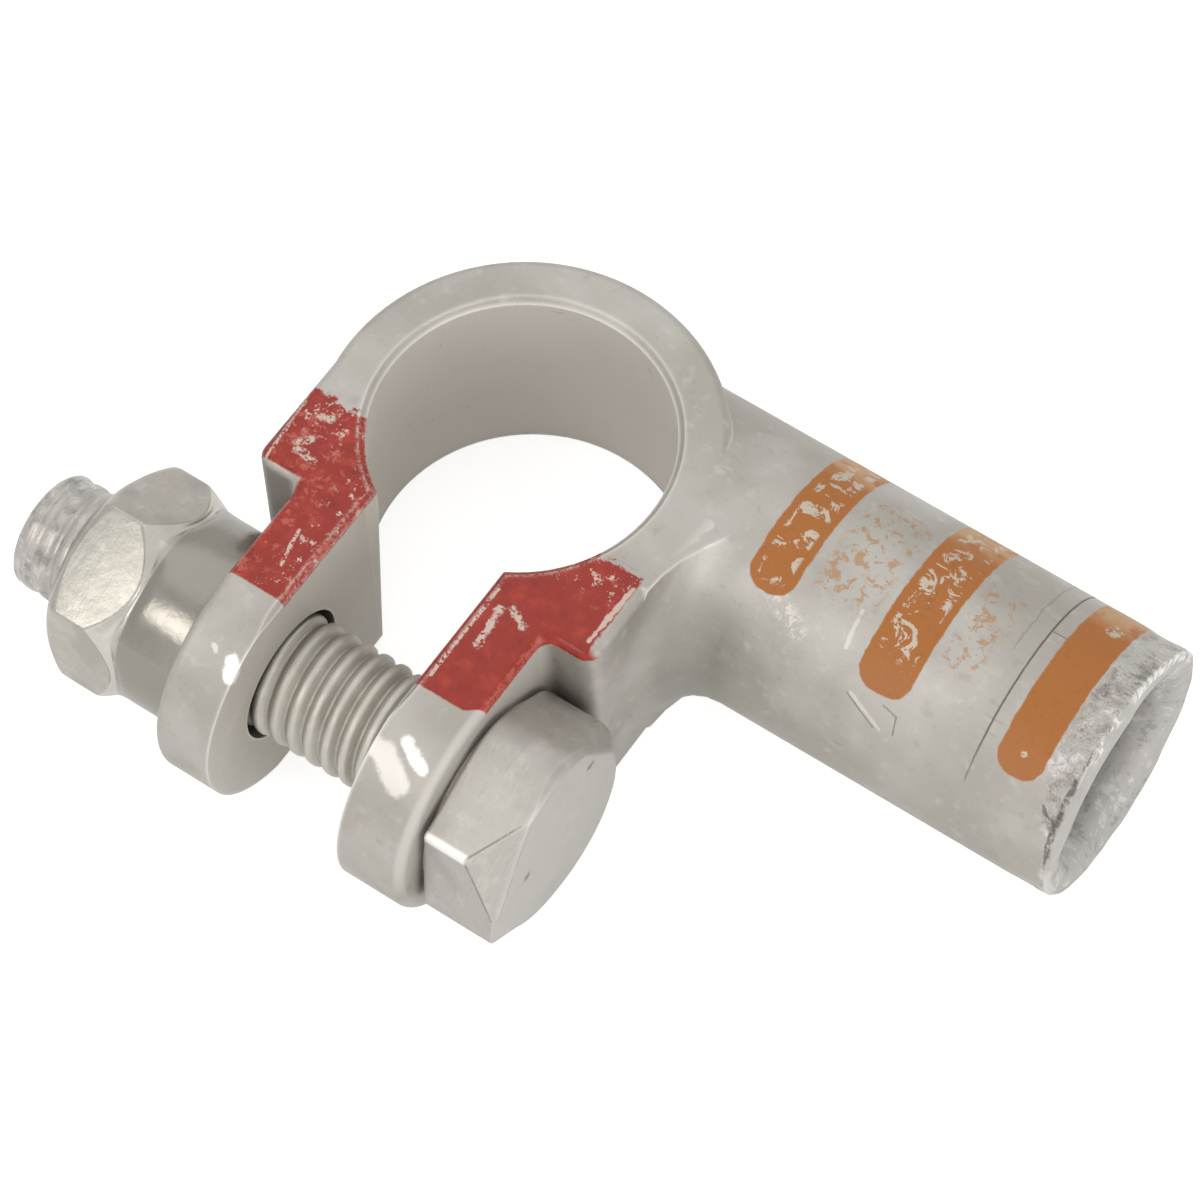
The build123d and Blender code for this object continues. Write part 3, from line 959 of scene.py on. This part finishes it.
def barrel_scratches(f):
    """The barrel's scribed line, its thin dark scratches, its pale rubbed streaks and a painted highlight
    streak by the neck.
    """
    flat, arc = f.unrolled, f.arc
    smear = f.strokes(BARREL_SMEAR, flat, 0.9, f.ragged * 1.6) * (f.ragged + f.fine * 0.5).ramp(-0.06, 0.06)
    pale = f.strokes(BARREL_STREAKS, flat, 0.17, f.ragged * 0.3)
    neck_glint = f.strokes(NECK_PAINTED_GLINT, flat, 0.42, f.ragged * 0.9)
    # Rubbed streaks and a smear in a pale tone, and the same tone as a painted highlight by the neck
    f.paint(RUBBED_AND_GLINT, (smear * 0.6).high(pale * 0.6).high(neck_glint * 0.5) * f.outside)
    line = (f.x - SCRIBED_X + f.ragged * 0.08).size().ramp(0.09, 0.035) * arc.ramp(3.9, 4.4) * f.outside
    line = line * arc.ramp(3.9, 8.0).math("MULTIPLY_ADD", 0.5, 0.5)
    marks = f.strokes(BARREL_HAIRLINES, flat, 0.075, f.fine * 0.05 + f.ragged * 0.06) * f.outside
    faint = (f.x - FAINT_LINE_X + f.ragged * 0.5).size().ramp(0.08, 0.03) * arc.ramp(12.0, 13.0) * f.outside
    dark = (line * f.cloudy.ramp(0.20, 0.42)).high(marks * 0.6).high(faint * 0.3)
    f.paint(SCRIBED, dark * 0.85)


def rounded_field(f, across, along, middle, half, corner):
    """How far a point of a flat map is outside a rectangle with round corners, below 0 inside it."""
    qx = (across - middle[0]).size() - (half[0] - corner)
    qy = (along - middle[1]).size() - (half[1] - corner)
    return f.reach(qx.high(0.0), qy.high(0.0)) + qx.high(qy).low(0.0) - corner


def orange_paint(f):
    """Three orange bands round the barrel, rubbed and chipped, with stains between them; where they are."""
    field = None
    for start, end, low, high in ORANGE_BANDS:
        low_arc, high_arc = math.radians(low) * BARREL_R, math.radians(high) * BARREL_R
        band = rounded_field(f, f.x, f.arc, ((start + end) / 2, (low_arc + high_arc) / 2),
                             ((end - start) / 2, (high_arc - low_arc) / 2), BAND_CORNER)
        field = band if field is None else field.low(band)
    coat = (field + f.ragged * 0.28).ramp(0.06, -0.06) * f.outside
    stained = None
    for across, round_arc in STAIN_ZONES:
        zone = f.x.span(*across) * f.arc.span(*round_arc)
        stained = zone if stained is None else stained.high(zone)
    stain = (f.lumps + f.ragged * 0.5).ramp(0.52, 0.60) * stained * f.outside
    rubbed = f.noise(0.7, 4.0, 0.7, shift=(2, 7, 1), warp=1.2)
    rub_zone = f.x.ramp(30.0, 28.0) * f.arc.ramp(7.6, 9.4) * field.ramp(-0.4, -0.6)
    rub = (rubbed + f.ragged * 0.2).ramp(0.55, 0.575) * rub_zone
    chips = (f.away(f.unrolled, BAND_CHIP) + f.ragged * 1.6).ramp(0.75, 0.55)
    chips = chips.high((f.away(f.unrolled, BAND_FLECK) + f.ragged * 0.5).ramp(0.26, 0.16))
    bare = rub.high(chips * f.lumps.ramp(0.44, 0.5)).high((f.ragged + f.fine * 0.3).ramp(0.23, 0.25))
    share = coat * bare.flip()
    # Painted shading: the bands' low side takes its own tone
    tone = f.mix(ORANGE, ORANGE_LOW_SHADING, f.arc.ramp(9.0, 6.0))
    tone = f.mix(tone, ORANGE_DARK, f.lumps.ramp(0.56, 0.70) * 0.5)
    tone = f.mix(tone, ORANGE_FADED, f.arc.ramp(17.0, 19.0) * f.cloudy.ramp(0.30, 0.55) * 0.8)
    f.paint(ORANGE_STAIN, stain * 0.7)
    f.paint(ORANGE_BARE, coat * bare * 0.6)
    f.paint(tone, share)
    return share


def red_coat(f):
    """Where red was painted: on both ears and the ring beside them, with ragged ends."""
    front = (f.y + f.fine * 0.12 - f.x.ramp(7.7, 9.1) * 0.8).ramp(-17.28, -17.14)
    back = (f.y + f.ragged * 2.4).ramp(-4.1, -4.35)
    top = (f.z + f.fine * 0.3).ramp(BODY_H - 0.65, BODY_H - 0.48)
    left_wall = f.x.ramp(-11.9, -12.1) * (f.z + f.ragged * 2.0).ramp(13.2, 13.6)
    shoulder = (f.x.ramp(-9.2, -8.9) + (f.y + f.fine * 0.1).ramp(-9.85, -9.7)).low(1.0)
    right_end = ((f.x + f.ragged * 0.5).ramp(11.75, 11.55) + f.y.ramp(-9.6, -10.2)).low(1.0)
    return front * back * top.high(left_wall) * shoulder * right_end


def red_wear(f):
    """Where the red is gone: bare scuffs, chips and edges, and thin pale lines that are painted highlights.
    """
    uneven = f.ragged * 0.9 + (f.lumps - 0.5) * 0.7
    bare = f.strokes(RED_SCUFFS, f.above, 0.31, uneven) * (f.lumps + f.fine * 0.9).ramp(0.36, 0.52)
    broken = (f.ragged + f.fine).ramp(-0.16, 0.0)
    # Painted highlights drawn as thin bare lines in the red
    bare = bare.high(f.strokes(RED_PAINTED_GLINTS, f.above, 0.14, uneven * 0.4) * broken)
    bare = bare.high(f.strokes(RED_END_RUB, f.above, 0.20, uneven * 0.5))
    near_end = (f.x.span(*SLIT_EDGE_X) + (f.y + f.ragged * 1.5).ramp(-7.6, -5.4)).low(1.0)
    chips = (f.ragged + f.fine * 0.5).ramp(0.10, 0.14) * near_end
    edge_wear = f.worn * (f.ragged + f.fine).ramp(-0.16, 0.04)
    return bare.high(chips).high(edge_wear * 0.85), uneven


def red_paint(f):
    """Red paint with its wear, its paler, scuffed strips and painted shade on its left wall; where it still
    is.
    """
    f.above = f.point(f.x, f.y)
    coat = red_coat(f)
    bare, uneven = red_wear(f)
    strip = f.strokes(RED_STRIPS, f.above, 0.26, uneven * 0.8) * (f.lumps + f.fine * 0.5).ramp(0.42, 0.55)
    scuffed = f.x.ramp(-5.6, -8.0) * (f.lumps + f.ragged * 0.6).ramp(0.54, 0.62)
    share = coat * bare.flip()
    tone = f.mix(RED, RED_PALE, f.cloudy.ramp(0.46, 0.7) * 0.8)
    tone = f.mix(tone, RED_DEEP, f.cloudy.ramp(0.44, 0.25) * 0.5)
    tone = f.mix(tone, RED_SCUFFED, scuffed.high(strip) * 0.5)
    # Painted shade: the red darker on the ring's left wall
    tone = f.mix(tone, RED_WALL_SHADE, f.x.ramp(-11.85, -12.05) * 0.6)
    # Bare metal in scuffs and chips, and the same pale tone as painted highlight lines
    f.paint(RED_BARE_AND_GLINT, coat * bare * 0.75)
    f.paint(tone, share)
    return share


def casting_material():
    """The casting's finish: tin-plated metal, a rough mouth, a scribed line, orange bands and red paint."""
    f = Finish("cast_tin", TIN)
    cast_patterns(f)
    tin_metal(f)
    nose_glints(f)
    within = mouth_finish(f)
    barrel_scratches(f)
    orange = orange_paint(f)
    red = red_paint(f)
    f.rough = f.blend(f.rough, 0.46, orange)
    f.rough = f.blend(f.rough, f.cloudy.math("MULTIPLY_ADD", 0.25, 0.18), red)
    dulled = (f.cut * 0.34).high(within * 0.5).high(f.glints * 0.5)
    metal = orange.high(red).math("MULTIPLY_ADD", -0.82, 0.82) - dulled
    return f.close(metal.high(0.0))


def fastener_material(name, tone, rough_low, brushed, marks):
    """Zinc-plated steel: brushed round its axis, mottled, with painted shade in its corners and bright on
    worn edges.
    """
    f = Finish(name, tone)
    f.level, f.out = f.z - AXIS_Z, f.y - BOLT_Y
    f.radius = f.reach(f.level, f.out)
    f.angle = f.level.math("ARCTAN2", f.out)
    f.turned = f.noise(1.0, 2.0, 0.6, at=f.point(f.x * 7.0, f.radius * 7.0, f.angle * 1.6))
    f.cloudy = f.noise(0.8, 4.0, 0.62, shift=(6, 2, 2))
    f.blots = f.noise(1.1, 3.0, 0.7, shift=(2, 5, 1), warp=0.6)
    broad = f.noise(0.25, 2.0, 0.5, shift=(1, 7, 3))
    worn = f.edges(0.3)
    light = tuple(min(255, part + ZINC_LIFT) for part in tone)
    dark = tuple(part - ZINC_DROP for part in tone)
    f.paint(light, f.cloudy.ramp(0.48, 0.72) * 0.8)
    f.paint(dark, broad.ramp(0.5, 0.3) * 0.6)
    f.paint(dark, f.turned.ramp(0.5, 0.3) * 0.3)
    f.paint(ZINC_BLOT, f.blots.ramp(0.27, 0.20) * 0.5)
    # Painted shade: corners darkened by ambient occlusion
    f.paint(ZINC_CREVICE_SHADE, f.crevices(1.0) * 0.3)
    f.paint(ZINC_EDGE, worn * 0.6)
    f.rough = f.blend(rough_low, rough_low + 0.14, f.cloudy) - worn * 0.08
    f.relief = (f.turned - 0.5) * brushed + (f.cloudy - 0.5) * 0.03
    marks(f)
    return f.close(0.85)


def in_degrees(angle):
    """An angle's field in degrees."""
    return angle * (180 / math.pi)


def head_marks(f):
    """On the head: dark creases round the cut corner, a painted highlight on one worn corner, and small
    dark blots.
    """
    turn = math.radians(HEAD_CUT_TURN)
    drop = f.out * math.cos(turn) + f.level * math.sin(turn) - HEAD_CUT_R
    below = drop * -1.0 - f.x + HEAD_OUT_X
    crease = below.span(0.01, 0.06, 0.10, 0.20) * drop.ramp(-0.3, -0.1)
    f.paint(HEAD_CREASE, crease * f.cloudy.ramp(0.36, 0.52) * 0.6)
    f.paint(HEAD_FACE, f.x.ramp(HEAD_OUT_X - 0.3, HEAD_OUT_X - 0.08) * 0.6)
    # Painted highlight along the corner at 145 degrees
    corner = (in_degrees(f.angle) - 145.0).size().ramp(3.6, 1.6) * f.radius.ramp(7.0, 7.2)
    f.paint(HEAD_CORNER_HIGHLIGHT, corner * f.x.ramp(12.4, 12.1) * 0.95)
    near, far = (f.away(f.place, spot) for spot in HEAD_SPOTS)
    spots = (near.low(far) + (f.blots - 0.5) * 0.8).ramp(0.38, 0.16)
    f.paint(HEAD_SPOT, spots * 0.6)


def thread_marks(f):
    """On the shank: painted shade in the thread's roots, and a bare, streaked end."""
    end = f.x.ramp(NUT_OUT_X, NUT_OUT_X - 0.5)
    # Painted shade: the thread's roots darkened
    f.paint(ROOT_SHADE, f.radius.ramp(THREAD_ROOT_R + 0.21, THREAD_ROOT_R + 0.03) * 0.4)
    f.paint(END_BARE, end * 0.7)
    f.paint(END_STREAK, end * (f.turned * 0.3 + f.cloudy).ramp(0.62, 0.50) * 0.5)
    f.paint(END_PALE, end * (f.turned * 0.3 + f.blots).ramp(0.68, 0.80) * 0.4)
    f.rough = f.rough - end * 0.10


def nut_marks(f):
    """On the nut: painted shade on the collar, painted light on the cove, and a dark line where each flat
    meets the cove.
    """
    half = NUT_AF / 2
    collar = f.x.ramp(COLLAR_X - 0.3, COLLAR_X - 0.1)
    cove = f.x.span(COLLAR_X - 2.65, COLLAR_X - 2.45, COLLAR_X - 0.2, COLLAR_X - 0.05)
    cove = cove * f.facing_x.ramp(0.12, 0.35)
    edge_x = (f.radius - half) * -COVE_SLOPE + COVE_X
    edge = (f.x - edge_x).size().ramp(0.16, 0.06) * f.radius.ramp(half - 0.07, half - 0.01)
    edge = edge * f.facing_x.ramp(0.30, 0.10) * (in_degrees(f.angle) + 153.0).size().ramp(14.0, 26.0)
    # Painted shade on the collar
    f.paint(COLLAR_PAINTED_SHADE, collar * 0.85)
    # Painted light on the cove
    f.paint(COVE_PAINTED_LIGHT, cove * 0.5)
    f.paint(COVE_LINE, edge * 0.6)
    f.rough = f.rough - collar.high(cove) * 0.07


def dress(piece, body, slot, material, *nodes):
    """A piece gets its material, and rides on its body in place of the solids that it stands for."""
    piece.data.materials.clear()
    piece.data.materials.append(material)
    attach(piece, body)
    if nodes:
        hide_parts(*nodes)


add_camera()
add_lights()
add_floor()
cast_tin = casting_material()
head_zinc = fastener_material("head_zinc", HEAD_ZINC, 0.48, 0.010, head_marks)
# The shank's lifted tone is painted light
thread_zinc = fastener_material("thread_zinc", THREAD_ZINC_LIT, 0.42, 0.014, thread_marks)
nut_zinc = fastener_material("nut_zinc", NUT_ZINC, 0.24, 0.004, nut_marks)
dress(casting(), "clamp", "tinned_brass", cast_tin, "clamp_body")
dress(head_piece(), "bolt", "plated_steel", head_zinc, "clamp_bolt")
dress(shank_piece(), "bolt", "plated_steel", thread_zinc)
dress(nut_piece(), "nut", "plated_steel", nut_zinc, "collar_nut")

bpy.context.scene.view_settings.view_transform = "Standard"
